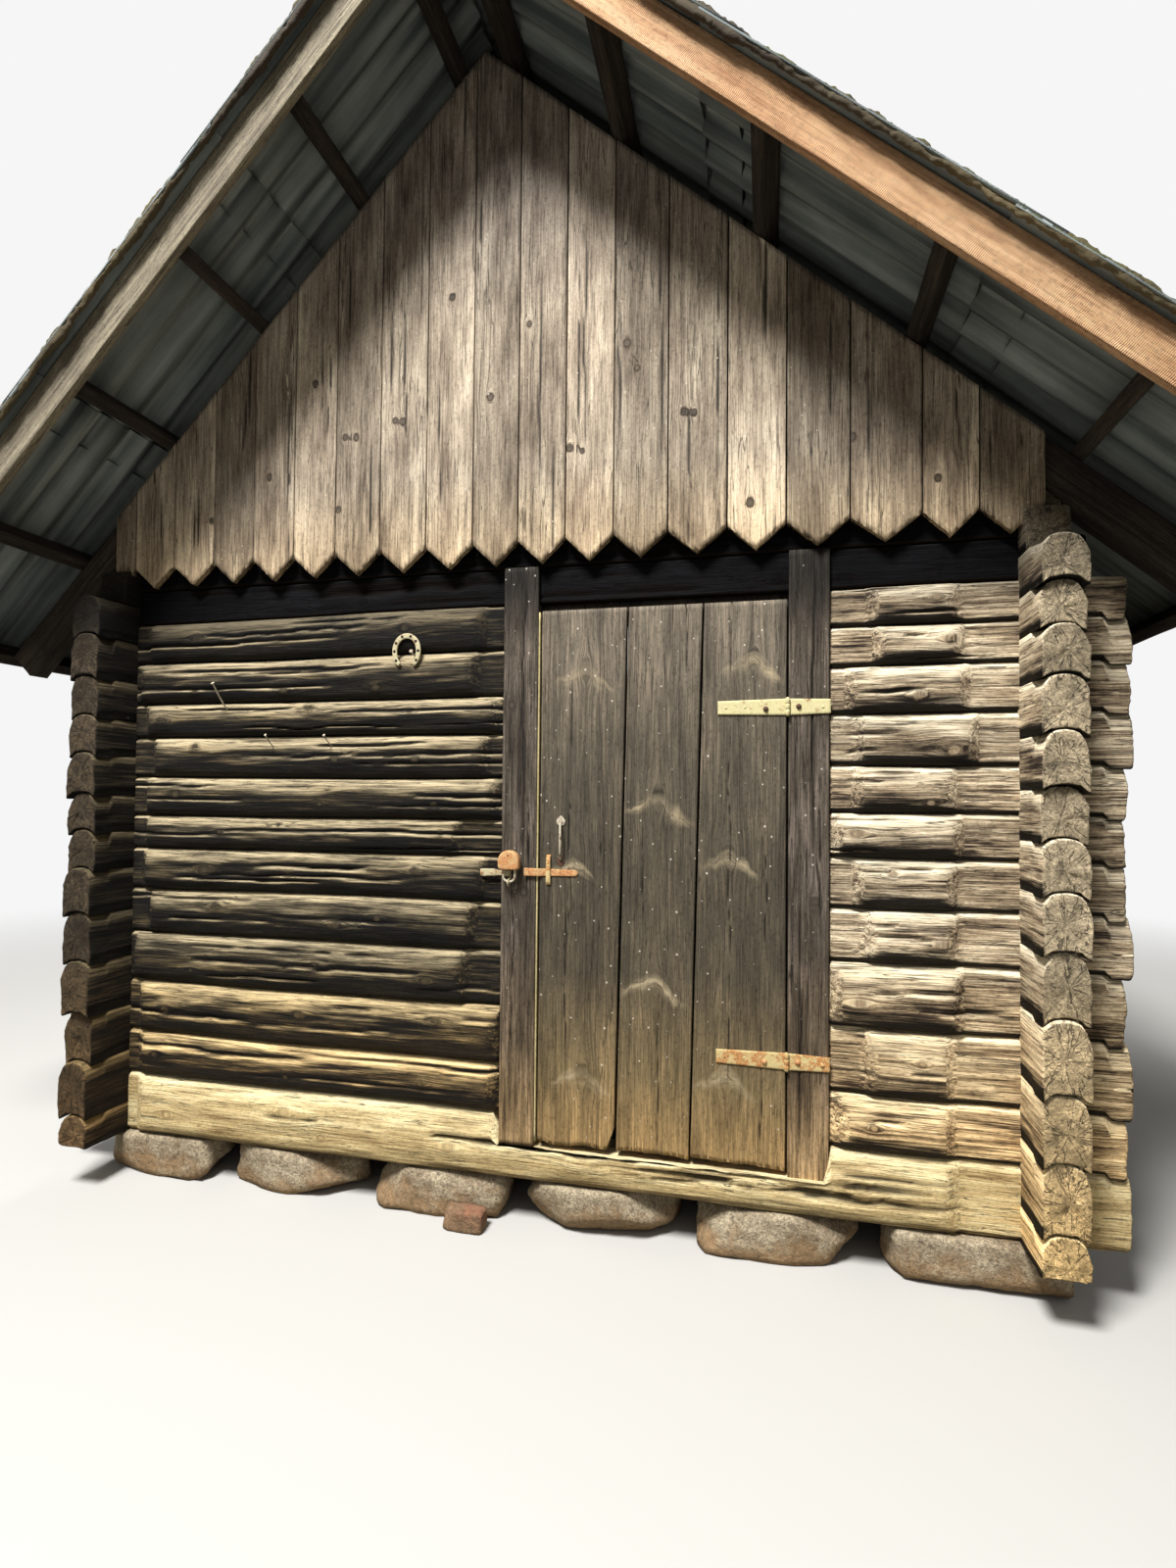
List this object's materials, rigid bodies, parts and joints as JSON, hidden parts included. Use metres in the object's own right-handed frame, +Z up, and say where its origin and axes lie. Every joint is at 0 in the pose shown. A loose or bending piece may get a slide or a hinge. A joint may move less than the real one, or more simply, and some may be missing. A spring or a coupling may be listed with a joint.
{
  "type": "log storehouse",
  "caption": "Closed log storehouse with notched corners, pointed gable boards, a steep overhanging corrugated roof and a plank door that swings outwards.",
  "frame": {"origin": "on the ground, in the middle of the plan", "axes": "+Z up, the front with the door faces -Y, the ridge runs along Y, +X to the right as one faces the door"},
  "size_m": [4.447, 4.83, 4.1204],
  "materials": {
    "old_log": "weathered round pine log, hewn at the ends",
    "post_board": "weathered sawn pine",
    "door_plank": "weathered planed pine plank",
    "gable_board": "weathered sawn pine board",
    "roof_timber": "dark sawn roof timber",
    "new_barge": "fresh sawn pine board",
    "old_barge": "grey weathered sawn board",
    "floor_wood": "worn floor board",
    "fibre_cement": "mossy corrugated fibre-cement sheet",
    "field_stone": "rough field stone",
    "cream_iron": "old cream paint over iron",
    "rusty_iron": "rusted wrought iron",
    "grey_iron": "dull bare iron"
  },
  "bodies": {
    "building": {"footing_front": "field_stone", "footing_back": "field_stone", "footing_right": "field_stone", "footing_left": "field_stone", "joist_pads": "field_stone", "floor_joists": "floor_wood", "floor": "floor_wood", "sill_front": "old_log", "front_wall_left": "old_log", "front_wall_right": "old_log", "front_wall_over_door": "old_log", "left_wall": "old_log", "right_wall": "old_log", "back_wall": "old_log", "latch_post": "post_board", "hinge_post": "post_board", "door_head": "post_board", "rafters_right": "roof_timber", "rafters_left": "roof_timber", "battens_right": "roof_timber", "battens_left": "roof_timber", "roof_sheets_right": "fibre_cement", "roof_sheets_left": "fibre_cement", "ridge_cap": "fibre_cement", "barge_front_right": "new_barge", "barge_front_left": "old_barge", "barge_back_right": "old_barge", "barge_back_left": "old_barge", "gable_front": "gable_board", "gable_back": "gable_board", "hinge_plate_lower": "rusty_iron", "hinge_plate_upper": "cream_iron", "eye_strap": "grey_iron", "padlock_case": "rusty_iron", "padlock_shackle": "grey_iron", "horseshoe": "grey_iron"},
    "door": {"door_plank_1": "door_plank", "door_plank_2": "door_plank", "door_plank_3": "door_plank", "door_ledges": "door_plank", "hinge_strap_lower": "rusty_iron", "hinge_strap_upper": "cream_iron", "door_pull": "grey_iron", "hasp": "rusty_iron", "keeper": "rusty_iron"}
  },
  "joints": [
    {"name": "door_swing", "type": "hinge", "parent": "building", "child": "door", "pos_m": [0.875, -1.923, 1.155], "axis": [0, 0, 1], "range_deg": [0, 150]}
  ]
}
